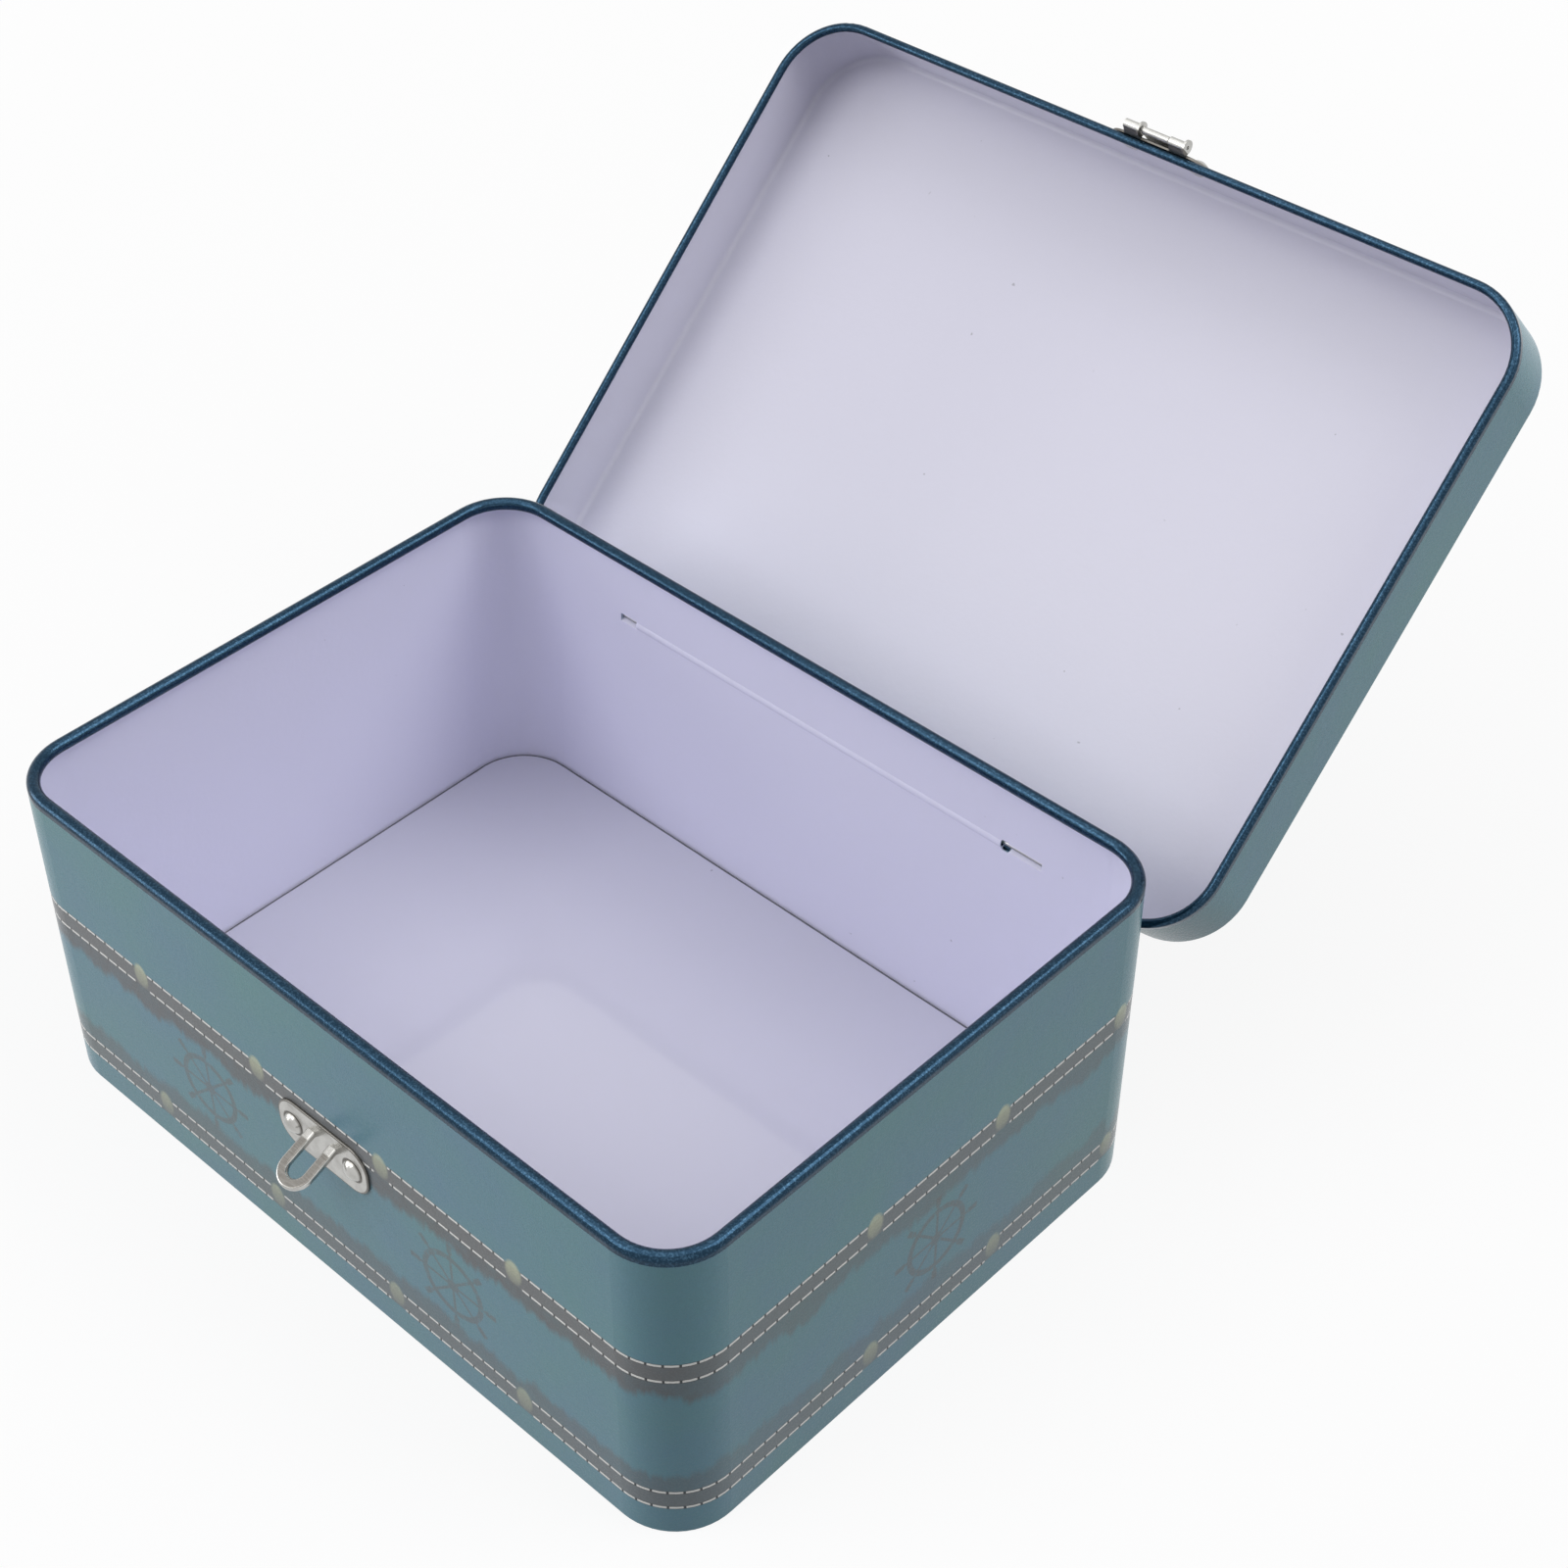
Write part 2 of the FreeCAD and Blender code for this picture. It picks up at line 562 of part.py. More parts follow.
draw_circle(roll, KNUCKLE_Y, KNUCKLE_Z, KNUCKLE_OUTER)
draw_circle(roll, KNUCKLE_Y, KNUCKLE_Z, KNUCKLE_BORE)
roll_pad = extrude(leaf, "Pad", roll, "knuckle_length")
doc.recompute()
mirror(leaf, "knuckle_mirror", [tab_pad, roll_pad])
for collar_name, collar_end in (("inner_collar", "-knuckle_inner"), ("outer_collar", KNUCKLE_END)):
    collar = new_sketch(leaf, collar_name, "YZ_Plane", f"{collar_end} - collar_length")
    draw_circle(collar, KNUCKLE_Y, KNUCKLE_Z, "collar_diameter / 2")
    draw_circle(collar, KNUCKLE_Y, KNUCKLE_Z, KNUCKLE_BORE)
    extrude(leaf, "Pad", collar, "collar_length")
place_on_lid(leaf, "latch_shift", "0", "0")

hasp_rivets = rivet_pair("hasp_rivets")
place_on_lid(hasp_rivets, "latch_shift - rivet_spread", f"({LID_FRONT} - plate_gauge)", LEAF_Z)

# The hasp's pin, short of the knuckles' ends
pin = doc.addObject("Part::Cylinder", "hasp_pin")
pin.Label = "hasp_pin"
pin_half = f"({KNUCKLE_END} - pin_recess)"
tie(pin, "Radius", "pin_diameter / 2")
tie(pin, "Height", f"2 * {pin_half}")
pin.Placement = FreeCAD.Placement(FreeCAD.Vector(), FreeCAD.Rotation(FreeCAD.Vector(0, 1, 0), 90))
pin_place = (f"latch_shift - {pin_half}", f"{HINGE_Y} + {KNUCKLE_Y} * {COS_OPEN} + {KNUCKLE_Z} * {SIN_OPEN}",
             f"{HINGE_Z} - {KNUCKLE_Y} * {SIN_OPEN} + {KNUCKLE_Z} * {COS_OPEN}")
for axis, text in zip("xyz", pin_place):
    tie(pin, f"Placement.Base.{axis}", text)

# The slotted flap, lying back along the leaf; its eye turns on the pin
flap = new_body("hasp_flap")
flap_half = "flap_width / 2"
shoulder = f"flap_shoulder + {flap_half} - {FLAP_NECK}"
flap_plate = new_sketch(flap, "flap_plate", "XZ_Plane", f"-{FLAP_OUTER}")
draw(flap_plate, [
    (f"-{FLAP_NECK}", "0"),
    (FLAP_NECK, "0"),
    (FLAP_NECK, "flap_shoulder"),
    (flap_half, shoulder),
    (flap_half, f"{FLAP_END} - flap_corner", "flap_corner", "left"),
    (f"{flap_half} - flap_corner", FLAP_END),
    (f"-{flap_half} + flap_corner", FLAP_END, "flap_corner", "left"),
    (f"-{flap_half}", f"{FLAP_END} - flap_corner"),
    (f"-{flap_half}", shoulder),
    (f"-{FLAP_NECK}", "flap_shoulder"),
])
extrude(flap, "Pad", flap_plate, "flap_gauge")
slot = new_sketch(flap, "flap_slot", "XZ_Plane", "0")
slot_half = "(loop_span / 2 + slot_play)"
draw_rounded(slot, f"-{slot_half}", slot_half, SLOT_TOP, SLOT_END, "slot_corner")
extrude(flap, "Pocket", slot, "2 * cut_overrun", both_ways=True)
flap_eye = new_sketch(flap, "flap_eye", "YZ_Plane")
draw_circle(flap_eye, "0", "0", FLAP_OUTER)
draw_circle(flap_eye, "0", "0", FLAP_BORE)
extrude(flap, "Pad", flap_eye, f"2 * {FLAP_NECK}", both_ways=True)
place_on_lid(flap, "latch_shift", KNUCKLE_Y, KNUCKLE_Z)

doc.recompute()

PIECES = [wall, floor, wire, catch, loop, catch_rivets, lid, leaf, pin, hasp_rivets, flap]
faults = [item.Name for item in doc.Objects if "Invalid" in item.State or "Error" in item.State]
faults += [piece.Label for piece in PIECES if piece.Shape.isNull() or not piece.Shape.isValid()]
if faults:
    raise RuntimeError(f"these objects failed: {faults}")
os.makedirs("parts", exist_ok=True)
for piece in PIECES:
    piece.Shape.exportStep(f"parts/{piece.Label}.step")
    print(piece.Label, len(piece.Shape.Solids), "solid,", round(piece.Shape.Volume, 2), "mm3")
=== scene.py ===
import math
from types import SimpleNamespace
import bpy
from mathutils import Euler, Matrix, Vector

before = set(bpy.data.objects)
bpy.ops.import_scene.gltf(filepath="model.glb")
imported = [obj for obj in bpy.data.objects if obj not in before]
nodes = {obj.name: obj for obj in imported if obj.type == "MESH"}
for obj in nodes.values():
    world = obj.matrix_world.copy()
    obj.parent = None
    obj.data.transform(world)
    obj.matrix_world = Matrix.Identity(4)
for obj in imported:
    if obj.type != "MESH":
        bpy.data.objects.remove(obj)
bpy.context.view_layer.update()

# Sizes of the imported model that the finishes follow, in millimetres
BODY_HALF = (100.0, 73.1)
BODY_HEIGHT = 83.2
BODY_CORNER = 15.0
BODY_BEAD = 2.5
HINGE = (0.0, 73.9, 62.6)
LID_OPEN = math.radians(136)
LID_HALF = (102.45, 76.585)
LID_MIDDLE = HINGE[1] - 74.055
LID_CORNER = 17.45
LID_CURL = 2.1
LID_RISE = 2.4
LID_TOP = 83.8
LID_BEAD_TOP = HINGE[2] + LID_RISE + LID_CURL / 2 + 0.1
LATCH_SHIFT = 1.2
RIVET_SPREAD = 9.2
RIVET_RADIUS = 2.75
PLATE_HALF = (13.9, 6.3)
PLATE_CORNER = 5.4
PLATE_RIM = 0.45
FLOOR_CREASE = 1.05

# The two riveted plates: the turn that closes their body, their rivets' height and the depth just ahead of them
CATCH = SimpleNamespace(closing=0.0, height=43.3, ahead=-74.2)
HASP = SimpleNamespace(closing=LID_OPEN, height=70.5, ahead=-77.7)

# The printed straps, in millimetres: heights of their stitched edges and of their ragged ones
UPPER_STITCHES = (52.4, 47.7)
UPPER_RAGGED = 42.0
LOWER_STITCHES = (13.0, 8.2)
LOWER_RAGGED = 19.0
RAGGED_SOFT = 2.2
STITCH_PITCH = 3.3
STITCH_SHARE = 0.84
STITCH_WIDTH = 0.62

# What hangs on the straps and stands between them, in millimetres
KEEPER_PITCH = 38.4
KEEPER_SIZE = (2.3, 3.4)
KEEPER_LIFT = 0.9
SIDE_SHIFT = 1.7
SIDE_KEEPERS_FROM = -40.0
WHEEL_PITCH = 76.8
WHEEL_HEIGHT = 30.5
WHEEL_RING = 8.2
WHEEL_RING_HALF = 0.75
WHEEL_HUB = 1.7
WHEEL_REACH = 12.6
SPOKE_HALF = 0.36
SPOKE_TURN = math.pi / 4
HANDLE_HALF = 0.75
HANDLE_FROM = WHEEL_RING + 1.6

# Colours, linear
TEAL = (0.138, 0.325, 0.345)
TEAL_BLUE = (0.140, 0.285, 0.405)
TEAL_WORN = (0.080, 0.180, 0.215)
BEAD_BLUE = (0.011, 0.034, 0.062)
BEAD_WORN = (0.040, 0.090, 0.145)
# The one white enamel in lit and shaded copies: bluer inside the body and darker on its floor as painted shade,
# less blue on the lid as painted light
BODY_WHITE_SHADED = (0.775, 0.770, 0.925)
FLOOR_WHITE_SHADED = (0.585, 0.582, 0.695)
LID_WHITE_LIT = (0.690, 0.680, 0.790)
STRAP_GREY = (0.205, 0.205, 0.210)
STRAP_BROWN = (0.135, 0.126, 0.130)
STITCH_WHITE = (0.98, 0.98, 0.96)
STITCH_EDGE = (0.030, 0.032, 0.034)
KEEPER_PALE = (0.590, 0.630, 0.450)
WHEEL_BROWN = (0.150, 0.148, 0.150)
# Dark specks of dirt; the same colour is also the painted shade in the floor's crease
GRIME_AND_SHADE = (0.022, 0.022, 0.030)
NICKEL = (0.50, 0.495, 0.475)
# Dark tarnish; the same colour is also painted shade and painted dark reflection on the riveted plates
TARNISH_AND_SHADE = (0.070, 0.062, 0.052)
STEEL = (0.42, 0.42, 0.42)

# Directions of the fine scratches: how fast they change along X, Y and Z
ROLLED = (0.4, 3.0, 3.0)
DRAWN = (0.05, 4.0, 4.0)

# The studio floor: size in metres, colours, its share of plain white and where it runs out to all white
STUDIO_SIZE = 12
STUDIO_SHOWN = (0.86, 0.86, 0.87)
STUDIO_BOUNCE = (0.28, 0.28, 0.28)
STUDIO_GLOW = 0.88
STUDIO_FADE = (0.55, 0.7)

# Light of the surroundings, and the lamps: azimuth and elevation in degrees, distance, size and power
WORLD_LIGHT = 0.08
LAMP_AIM = (0.0, 0.05, 0.06)
LAMPS = {
    "top": (-90, 84, 1.7, 2.0, 15.9),
    "front": (-142, 14, 1.6, 0.8, 6.8),
    "side": (42, 14, 1.6, 0.8, 0.7),
    "high": (-114, 42, 1.8, 1.0, 9.45),
    "right": (35, 48, 1.8, 1.0, 11.8),
    "low": (-30, 20, 1.6, 0.8, 0.9),
}

# The camera, solved on the photograph's edges: place in metres, turn in degrees, lens in millimetres and shift
CAMERA_PLACE = (0.323647, -0.286495, 0.469751)
CAMERA_TURN = (49.24012, 0.31334, 43.63117)
CAMERA_LENS = 64.208
CAMERA_SHIFT = (0.02794, -0.01399)


class Field:
    """A number that varies over a surface, with arithmetic that writes shader nodes."""

    def __init__(self, tree, socket):
        self.tree = tree
        self.socket = socket

    def math(self, operation, *others, clamp=False):
        node = self.tree.nodes.new("ShaderNodeMath")
        node.operation = operation
        node.use_clamp = clamp
        for slot, value in zip(node.inputs, (self, *others)):
            put(self.tree, slot, value)
        return Field(self.tree, node.outputs[0])

    def __add__(self, other):
        return self.math("ADD", other)

    def __radd__(self, other):
        return self.math("ADD", other)

    def __sub__(self, other):
        return self.math("SUBTRACT", other)

    def __rsub__(self, other):
        return (self * -1) + other

    def __mul__(self, other):
        return self.math("MULTIPLY", other)

    def __truediv__(self, other):
        return self.math("DIVIDE", other)

    def abs(self):
        return self.math("ABSOLUTE")

    def sign(self):
        return self.math("SIGN")

    def least(self, other):
        return self.math("MINIMUM", other)

    def most(self, other):
        return self.math("MAXIMUM", other)

    def clamped(self, low, high):
        return self.most(low).least(high)

    def wrapped(self, low, high):
        return self.math("WRAP", high, low)

    def hypot(self, other):
        return (self * self + other * other).math("SQRT")

    def above(self, edge, soft):
        """Rises from 0 to 1 over a soft edge."""
        return ((self - edge) / soft + 0.5).math("ADD", 0.0, clamp=True)

    def below(self, edge, soft):
        return 1.0 - self.above(edge, soft)

    def between(self, low, high, soft):
        return self.above(low, soft) * self.below(high, soft)


def put(tree, slot, value):
    """Gives a socket a field, another socket, or a plain value."""
    if isinstance(value, Field):
        tree.links.new(value.socket, slot)
    elif isinstance(value, bpy.types.NodeSocket):
        tree.links.new(value, slot)
    else:
        slot.default_value = value


def blank(name):
    """A new material, its node tree and its shader."""
    made = bpy.data.materials.new(name)
    made.use_nodes = True
    return made, made.node_tree, made.node_tree.nodes["Principled BSDF"]


def split(tree, socket):
    """The three parts of a vector, as fields."""
    node = tree.nodes.new("ShaderNodeSeparateXYZ")
    tree.links.new(socket, node.inputs[0])
    return [Field(tree, out) for out in node.outputs]


def join(tree, x, y, z):
    """A vector from three fields or numbers."""
    node = tree.nodes.new("ShaderNodeCombineXYZ")
    for slot, value in zip(node.inputs, (x, y, z)):
        put(tree, slot, value)
    return node.outputs[0]


def scaled(tree, socket, share):
    """A vector times a number."""
    node = tree.nodes.new("ShaderNodeVectorMath")
    node.operation = "SCALE"
    tree.links.new(socket, node.inputs[0])
    node.inputs["Scale"].default_value = share
    return node.outputs[0]


def turned(tree, socket, centre, angle):
    """Turns a vector about the X axis."""
    node = tree.nodes.new("ShaderNodeVectorRotate")
    node.rotation_type = "X_AXIS"
    tree.links.new(socket, node.inputs["Vector"])
    node.inputs["Center"].default_value = centre
    node.inputs["Angle"].default_value = angle
    return node.outputs[0]


def place_and_normal(tree, closing=0.0):
    """Place in millimetres and normal on the model at rest, turned about the hinge to where the lid is closed."""
    coords = tree.nodes.new("ShaderNodeTexCoord")
    place = scaled(tree, coords.outputs["Object"], 1000)
    geometry = tree.nodes.new("ShaderNodeNewGeometry")
    facing = tree.nodes.new("ShaderNodeVectorTransform")
    facing.vector_type = "NORMAL"
    facing.convert_from = "WORLD"
    facing.convert_to = "OBJECT"
    tree.links.new(geometry.outputs["True Normal"], facing.inputs[0])
    normal = facing.outputs[0]
    if closing:
        place = turned(tree, place, HINGE, closing)
        normal = turned(tree, normal, (0, 0, 0), closing)
    return place, normal


def noise(tree, place, scale, detail=3.0, roughness=0.55):
    node = tree.nodes.new("ShaderNodeTexNoise")
    tree.links.new(place, node.inputs["Vector"])
    node.inputs["Scale"].default_value = scale
    node.inputs["Detail"].default_value = detail
    node.inputs["Roughness"].default_value = roughness
    return Field(tree, node.outputs[0])


def mix(tree, share, first, second):
    """A colour between two others."""
    node = tree.nodes.new("ShaderNodeMix")
    node.data_type = "RGBA"
    put(tree, node.inputs["Factor"], share)
    for slot, value in ((node.inputs[6], first), (node.inputs[7], second)):
        put(tree, slot, (*value, 1.0) if isinstance(value, tuple) else value)
    return node.outputs[2]


def bump(tree, shader, height, distance):
    """Fine unevenness of a surface; the distance is in metres."""
    node = tree.nodes.new("ShaderNodeBump")
    node.inputs["Strength"].default_value = 1.0
    node.inputs["Distance"].default_value = distance
    put(tree, node.inputs["Height"], height)
    tree.links.new(node.outputs[0], shader.inputs["Normal"])


def wall_fields(tree, place, normal, half, corner, middle=0.0):
    """Fields of a wall round a rounded rectangle.

    x, y and z are the place from the rectangle's middle, outward is above 0 where the wall faces out, along is the
    way round the outline, edge the distance from the corners' centre lines, and nz the normal's rise.
    """
    x, y, z = split(tree, place)
    nx, ny, nz = split(tree, normal)
    y = y - middle
    straight = (half[0] - corner, half[1] - corner)
    near_x = x.clamped(-straight[0], straight[0])
    near_y = y.clamped(-straight[1], straight[1])
    away_x = x - near_x
    away_y = y - near_y
    outward = nx * away_x + ny * away_y
    angle = away_y.math("ARCTAN2", away_x)
    front = away_y.sign() * -1
    side = away_x.sign()
    on_front = front * near_x - front.abs() * straight[0]
    on_side = side * near_y + side.abs() * straight[1]
    along = on_front + on_side + angle * corner
    return SimpleNamespace(x=x, y=y, z=z, outward=outward, along=along, edge=away_x.hypot(away_y), nz=nz)


def stitches(wall, height):
    """A row of stitches: the thread and the dark edge round it."""
    dash = (wall.along / STITCH_PITCH).wrapped(0.0, 1.0).below(STITCH_SHARE, 0.06)
    off = (wall.z - height).abs()
    return dash * off.below(STITCH_WIDTH / 2, 0.12), off.below(STITCH_WIDTH * 0.75, 0.2)


def ships_wheel(across, rise):
    """A ring with a hub, eight spokes and their handles, round the point where both measures are 0."""
    radius = across.hypot(rise)
    turn = rise.math("ARCTAN2", across)
    spoke = (turn / SPOKE_TURN).wrapped(-0.5, 0.5).abs() * SPOKE_TURN * radius
    wheel = (radius - WHEEL_RING).abs().below(WHEEL_RING_HALF, 0.3)
    wheel = wheel.most(radius.below(WHEEL_HUB, 0.3))
    wheel = wheel.most(spoke.below(SPOKE_HALF, 0.25) * radius.below(WHEEL_REACH, 0.3))
    return wheel.most(spoke.below(HANDLE_HALF, 0.3) * radius.between(HANDLE_FROM, WHEEL_REACH, 0.3))


def printed(tree, place, wall, ground):
    """The print round the body: two stitched straps with ragged edges, their keepers, and plain ship's wheels."""
    x, y, z, along = wall.x, wall.y, wall.z, wall.along
    streaks = noise(tree, join(tree, along * 0.5, z * 0.08, 0.0), 1.0, detail=5.0, roughness=0.65)
    blots = noise(tree, join(tree, along * 0.07, z * 0.03, 7.0), 1.0, detail=2.0)
    ragged = z + ((streaks - 0.5) * 7.0 + (blots - 0.5) * 9.0)
    upper = z.below(UPPER_STITCHES[0] + 0.3, 0.3) * ragged.above(UPPER_RAGGED, RAGGED_SOFT)
    lower = z.above(LOWER_STITCHES[1] - 0.3, 0.3) * ragged.below(LOWER_RAGGED, RAGGED_SOFT) * 0.7
    mottle = noise(tree, place, 0.35, detail=4.0)
    faded = y.abs().above(BODY_HALF[1] - BODY_CORNER / 2, BODY_CORNER) * 0.35 + 0.65
    colour = mix(tree, upper.most(lower) * (mottle * 0.4 + 0.6) * faded, ground, STRAP_BROWN)
    strap = z.between(*reversed(UPPER_STITCHES), 0.3).most(z.between(*reversed(LOWER_STITCHES), 0.3))
    colour = mix(tree, strap * 0.55, colour, STRAP_GREY)

    # The wheels stand midway between keepers, over every second gap on the long walls and once on the short ones
    on_long = (y.abs() - BODY_HALF[1] + 0.5).above(0.0, 0.01)
    on_short = 1.0 - on_long
    side_y = y - SIDE_SHIFT
    wheel_x = (x - WHEEL_PITCH / 2).wrapped(-WHEEL_PITCH / 2, WHEEL_PITCH / 2)
    wheel = ships_wheel(wheel_x * on_long + side_y * on_short, z - WHEEL_HEIGHT)
    worn = noise(tree, place, 0.8, detail=3.0)
    colour = mix(tree, wheel * worn.above(0.34, 0.25) * 0.62, colour, WHEEL_BROWN)

    # The keepers cross both rows of stitches, pale at their tops and faded below
    keeper_along = x * on_long + side_y * on_short
    keeper_off = (keeper_along - KEEPER_PITCH / 2).wrapped(-KEEPER_PITCH / 2, KEEPER_PITCH / 2)
    present = on_long.most(y.above(SIDE_KEEPERS_FROM, 0.1))
    clear = 1.0 - keeper_off.abs().below(KEEPER_SIZE[0], 0.2) * present
    for pair, strength in ((UPPER_STITCHES, 1.1), (LOWER_STITCHES, 0.75)):
        for height in pair:
            thread, dark = stitches(wall, height)
            colour = mix(tree, dark * clear * 0.8, colour, STITCH_EDGE)
            colour = mix(tree, thread * clear * 0.95, colour, STITCH_WHITE)
        rise = (z - (sum(pair) / 2 + KEEPER_LIFT)) / KEEPER_SIZE[1]
        oval = (keeper_off / KEEPER_SIZE[0]).hypot(rise).below(0.95, 0.3)
        pale = oval * present * (rise * 0.4 + 0.6) * (mottle * 0.6 + 0.55) * strength
        colour = mix(tree, pale, colour, KEEPER_PALE)
    return colour


def enamelled(tree, place, white):
    """The white inside, a little duller in patches and with a few specks: its colour and its dullness."""
    dull = noise(tree, place, 0.012, detail=1.0)
    specks = noise(tree, place, 0.45, detail=1.0)
    shade = mix(tree, dull.above(0.5, 0.6) * 0.2, white, tuple(0.88 * c for c in white))
    return mix(tree, specks.above(0.83, 0.02) * 0.35, shade, GRIME_AND_SHADE), dull


def tin(name, half, corner, white, is_lid):
    """Lacquered tinplate: teal outside, white enamel inside and a dark blue curled rim; the body is printed."""
    made, tree, shader = blank(name)
    place, normal = place_and_normal(tree, LID_OPEN if is_lid else 0.0)
    wall = wall_fields(tree, place, normal, half, corner, LID_MIDDLE if is_lid else 0.0)
    clouds = noise(tree, place, 0.03, detail=5.0, roughness=0.6)
    fine = noise(tree, place, 1.6, detail=3.0)
    ground = mix(tree, clouds.above(0.5, 0.45), TEAL, TEAL_BLUE)
    ground = mix(tree, fine.above(0.5, 0.6) * 0.3, ground, TEAL_WORN)
    outside = wall.outward.above(0.0, 0.01)
    if is_lid:
        top_out = wall.nz.above(0.5, 0.2) * wall.z.above(LID_TOP - 1.0, 0.1)
        top_in = wall.nz.below(-0.6, 0.1) * wall.z.above(LID_TOP - 2.0, 0.1)
        outside = outside.most(top_out) * (1.0 - top_in)
        bead = wall.z.below(LID_BEAD_TOP, 0.05)
    else:
        bead = wall.z.above(BODY_HEIGHT - BODY_BEAD, 0.05)
        ground = printed(tree, place, wall, ground)
    inside = enamelled(tree, place, white)[0]
    colour = mix(tree, outside, inside, ground)
    speck = noise(tree, place, 2.4, detail=2.0)
    colour = mix(tree, bead, colour, mix(tree, speck.above(0.56, 0.14) * 0.7, BEAD_BLUE, BEAD_WORN))
    tree.links.new(colour, shader.inputs["Base Color"])
    lacquer = outside.most(bead)
    put(tree, shader.inputs["Roughness"], fine * lacquer * 0.10 + 0.22 - bead * 0.08)
    put(tree, shader.inputs["Metallic"], bead * 0.75)
    shader.inputs["Specular IOR Level"].default_value = 0.15
    shader.inputs["Coat Weight"].default_value = 0.05
    shader.inputs["Coat Roughness"].default_value = 0.10
    orange_peel = noise(tree, place, 0.5, detail=2.0)
    bump(tree, shader, orange_peel, 0.00004)
    return made


def enamel_floor(name):
    """White enamel with a dark line of painted shade in the crease at the wall, and teal lacquer underneath."""
    made, tree, shader = blank(name)
    place, normal = place_and_normal(tree)
    wall = wall_fields(tree, place, normal, BODY_HALF, BODY_CORNER)
    white, dull = enamelled(tree, place, FLOOR_WHITE_SHADED)
    uneven = noise(tree, place, 0.25, detail=3.0)
    # Painted shade: a dark line along the crease where the floor meets the wall
    crease = wall.edge.above(BODY_CORNER - FLOOR_CREASE + (uneven - 0.5) * 0.2, 0.15)
    colour = mix(tree, crease * 0.9, white, GRIME_AND_SHADE)
    colour = mix(tree, wall.nz.below(-0.5, 0.2), colour, TEAL)
    tree.links.new(colour, shader.inputs["Base Color"])
    put(tree, shader.inputs["Roughness"], dull * 0.06 + 0.16)
    shader.inputs["Coat Weight"].default_value = 0.8
    shader.inputs["Coat Roughness"].default_value = 0.05
    bump(tree, shader, noise(tree, place, 0.02, detail=1.0), 0.0006)
    return made


def metal(name, colour, roughness, grain, plate=None):
    """Bright plated metal with fine scratches and a little tarnish.

    A riveted plate also has dirt and painted shade round its rivets and at its rim, and painted dark reflections
    along the top of what stands out of it.
    """
    made, tree, shader = blank(name)
    place, normal = place_and_normal(tree, plate.closing if plate else 0.0)
    x, y, z = split(tree, place)
    scratches = noise(tree, join(tree, x * grain[0], y * grain[1], z * grain[2]), 1.0, detail=4.0)
    tarnish_and_shade = noise(tree, place, 0.3, detail=3.0).above(0.58, 0.3) * 0.3
    if plate:
        across = (x - LATCH_SHIFT).abs()
        up = z - plate.height
        # Dirt and painted shade in the crevice round each rivet
        ring = ((across - RIVET_SPREAD).hypot(up) - RIVET_RADIUS).abs().below(0.3, 0.3)
        # Dirt and painted shade along the plate's rim, where it meets what it is riveted to
        out_x = (across - (PLATE_HALF[0] - PLATE_CORNER)).most(0.0)
        out_z = (up.abs() - (PLATE_HALF[1] - PLATE_CORNER)).most(0.0)
        rim = out_x.hypot(out_z).above(PLATE_CORNER - PLATE_RIM, 0.2) * y.above(plate.ahead, 0.02)
        # Painted dark reflection: darker where what stands ahead of the plate faces front and up
        nx, ny, nz = split(tree, normal)
        upper = (nx * 0.25 - ny * 0.4 + nz * 0.88).above(0.93, 0.06) * y.below(plate.ahead - 1.2, 0.4)
        tarnish_and_shade = tarnish_and_shade.most(ring * 0.9).most(rim * 0.8).most(upper * (scratches * 0.4 + 0.6))
    shade = mix(tree, tarnish_and_shade, colour, TARNISH_AND_SHADE)
    tree.links.new(shade, shader.inputs["Base Color"])
    shader.inputs["Metallic"].default_value = 1.0
    put(tree, shader.inputs["Roughness"], scratches * 0.12 + tarnish_and_shade * 0.2 + roughness)
    bump(tree, shader, scratches, 0.00002)
    return made


def seen_rays(tree):
    """1 for the rays that see the surroundings, straight or in a reflection, and 0 for those that gather light."""
    path = tree.nodes.new("ShaderNodeLightPath")
    camera_ray, glossy, through = (Field(tree, path.outputs[f"Is {kind} Ray"])
                                   for kind in ("Camera", "Glossy", "Transmission"))
    return camera_ray.most(glossy).most(through)


def white_floor():
    """White where it is seen, with the object's shadow left on it."""
    made, tree, shader = blank("white_floor")
    seen = seen_rays(tree)
    tree.links.new(mix(tree, seen, STUDIO_BOUNCE, STUDIO_SHOWN), shader.inputs["Base Color"])
    shader.inputs["Roughness"].default_value = 0.9
    shader.inputs["Specular IOR Level"].default_value = 0.0
    glow = tree.nodes.new("ShaderNodeEmission")
    blend = tree.nodes.new("ShaderNodeMixShader")
    x, y, _ = split(tree, tree.nodes.new("ShaderNodeTexCoord").outputs["Object"])
    far = x.hypot(y).above(*STUDIO_FADE)
    put(tree, blend.inputs[0], seen * (far * (1.0 - STUDIO_GLOW) + STUDIO_GLOW))
    tree.links.new(shader.outputs[0], blend.inputs[1])
    tree.links.new(glow.outputs[0], blend.inputs[2])
    tree.links.new(blend.outputs[0], tree.nodes["Material Output"].inputs["Surface"])
    return made


def around(azimuth, elevation, distance):
    """A place round the object, from its direction."""
    turn, rise = math.radians(azimuth), math.radians(elevation)
    level = distance * math.cos(rise)
    return level * math.cos(turn), level * math.sin(turn), distance * math.sin(rise)


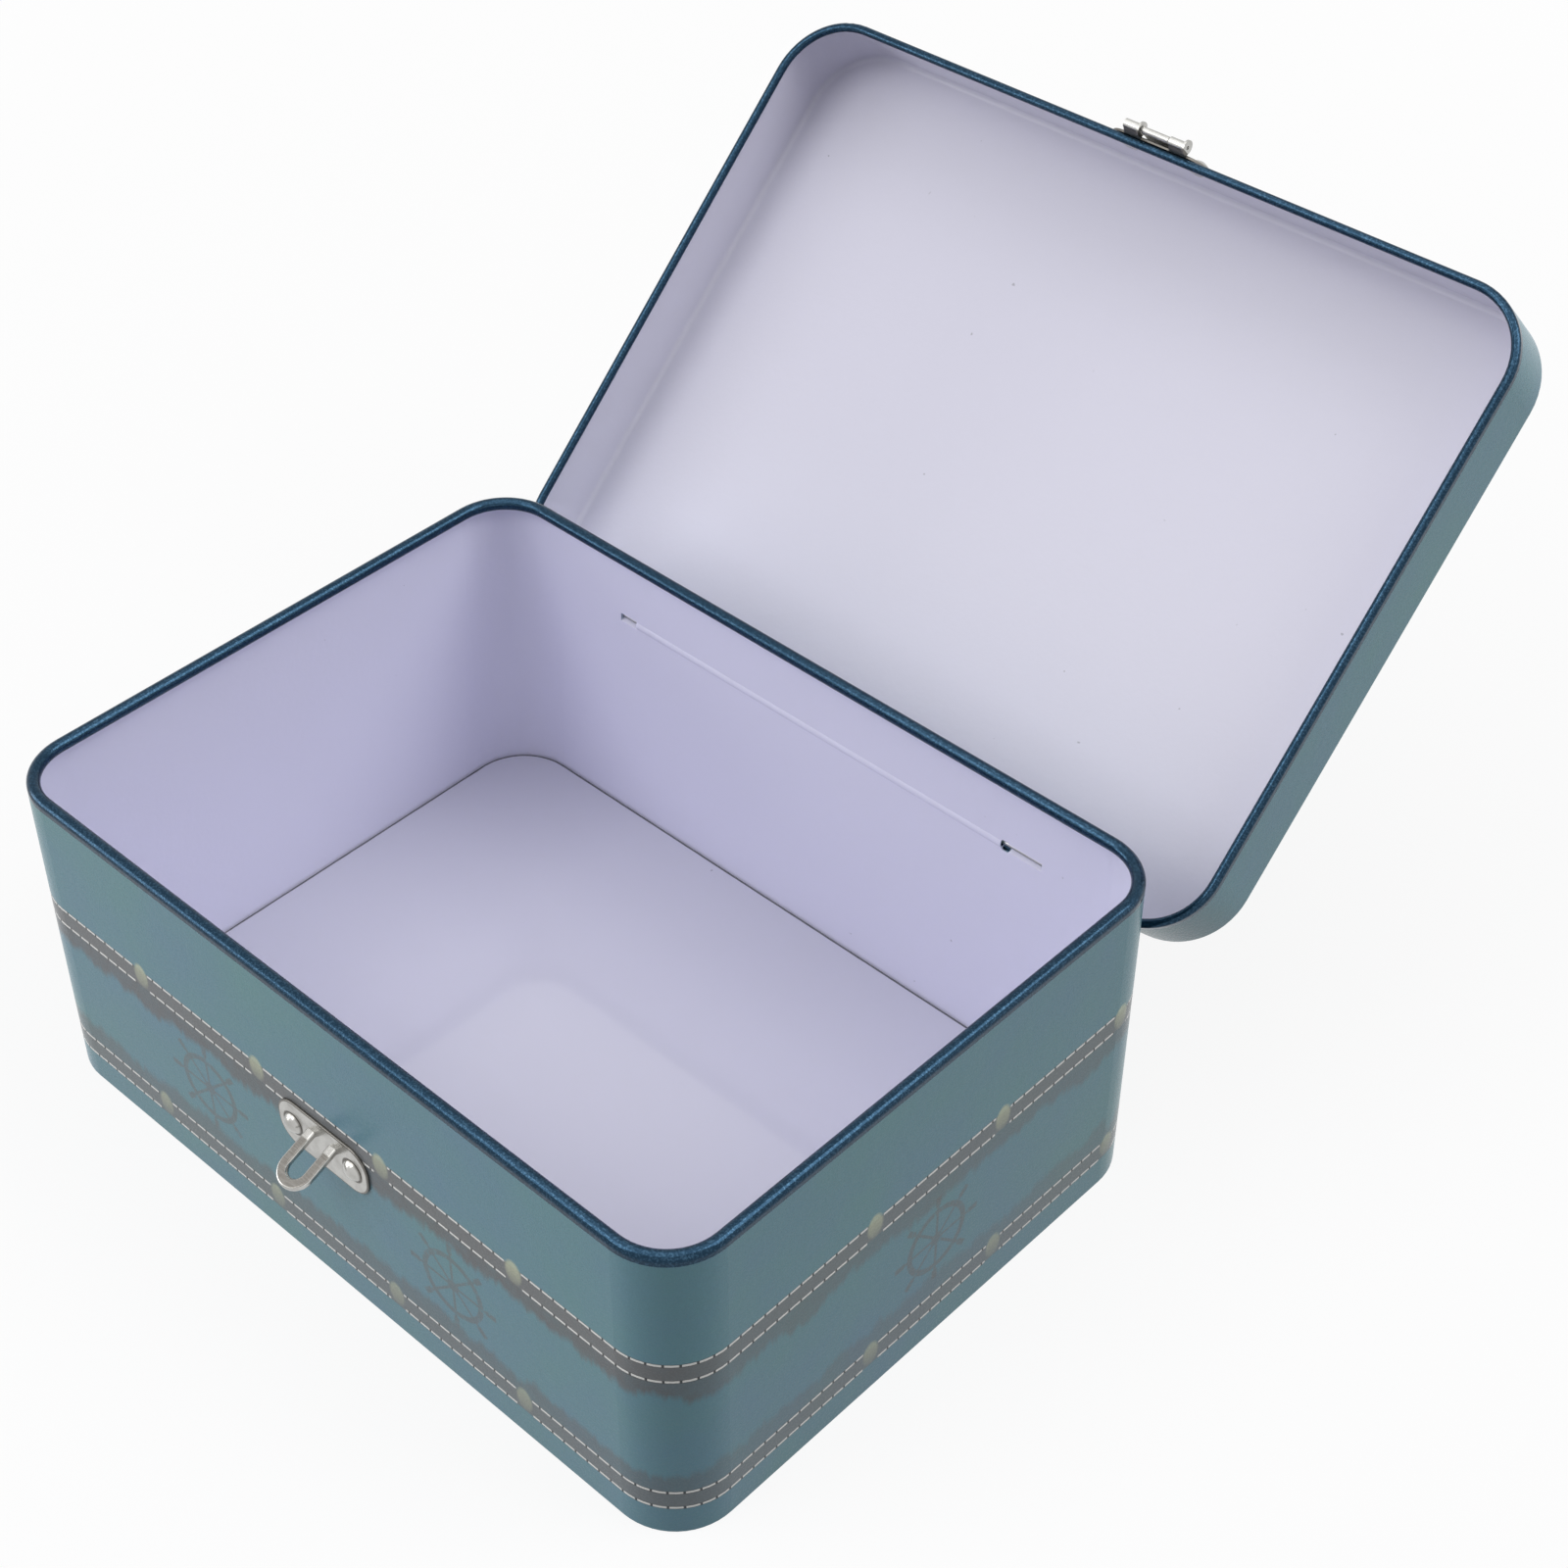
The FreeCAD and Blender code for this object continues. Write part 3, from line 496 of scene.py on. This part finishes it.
def softbox(name, place, size, power):
    data = bpy.data.lights.new(name, "AREA")
    data.shape = "SQUARE"
    data.size = size
    data.energy = power
    lamp = bpy.data.objects.new(name, data)
    lamp.location = place
    lamp.rotation_euler = (Vector(LAMP_AIM) - Vector(place)).to_track_quat("-Z", "Y").to_euler()
    bpy.context.scene.collection.objects.link(lamp)


# The finishes and the nodes that wear them
FINISHES = (
    (tin("body_tin", BODY_HALF, BODY_CORNER, BODY_WHITE_SHADED, is_lid=False), ("body_wall",)),
    (tin("lid_tin", LID_HALF, LID_CORNER, LID_WHITE_LIT, is_lid=True), ("lid_shell",)),
    (enamel_floor("floor_enamel"), ("floor_pan",)),
    (metal("catch_nickel", NICKEL, 0.12, ROLLED, CATCH), ("catch_plate", "catch_loop", "catch_rivets")),
    (metal("hasp_nickel", NICKEL, 0.2, ROLLED, HASP), ("hasp_base", "hasp_rivets", "hasp_flap")),
    (metal("drawn_wire", STEEL, 0.22, DRAWN), ("hinge_wire", "hasp_pin")),
)
for finish, wearers in FINISHES:
    for node in wearers:
        nodes[node].data.materials.clear()
        nodes[node].data.materials.append(finish)

# The studio: floor, lamps and white surroundings
bpy.ops.mesh.primitive_plane_add(size=STUDIO_SIZE)
floor = bpy.context.object
floor.name = "studio_floor"
floor.data.materials.append(white_floor())

for lamp_name, (azimuth, elevation, distance, size, power) in LAMPS.items():
    softbox(lamp_name, around(azimuth, elevation, distance), size, power)

world = bpy.data.worlds.new("studio")
bpy.context.scene.world = world
world.use_nodes = True
sky = world.node_tree.nodes["Background"]
sky.inputs["Color"].default_value = (1.0, 1.0, 1.0, 1.0)
brightness = seen_rays(world.node_tree) * (1.0 - WORLD_LIGHT) + WORLD_LIGHT
put(world.node_tree, sky.inputs["Strength"], brightness)

camera_data = bpy.data.cameras.new("camera")
camera_data.sensor_width = 36.0
camera_data.lens = CAMERA_LENS
camera_data.shift_x, camera_data.shift_y = CAMERA_SHIFT
camera_data.clip_start = 0.01
camera = bpy.data.objects.new("camera", camera_data)
camera.location = CAMERA_PLACE
camera.rotation_euler = Euler([math.radians(a) for a in CAMERA_TURN], "XYZ")
bpy.context.scene.collection.objects.link(camera)
bpy.context.scene.camera = camera
bpy.context.scene.view_settings.view_transform = "Standard"
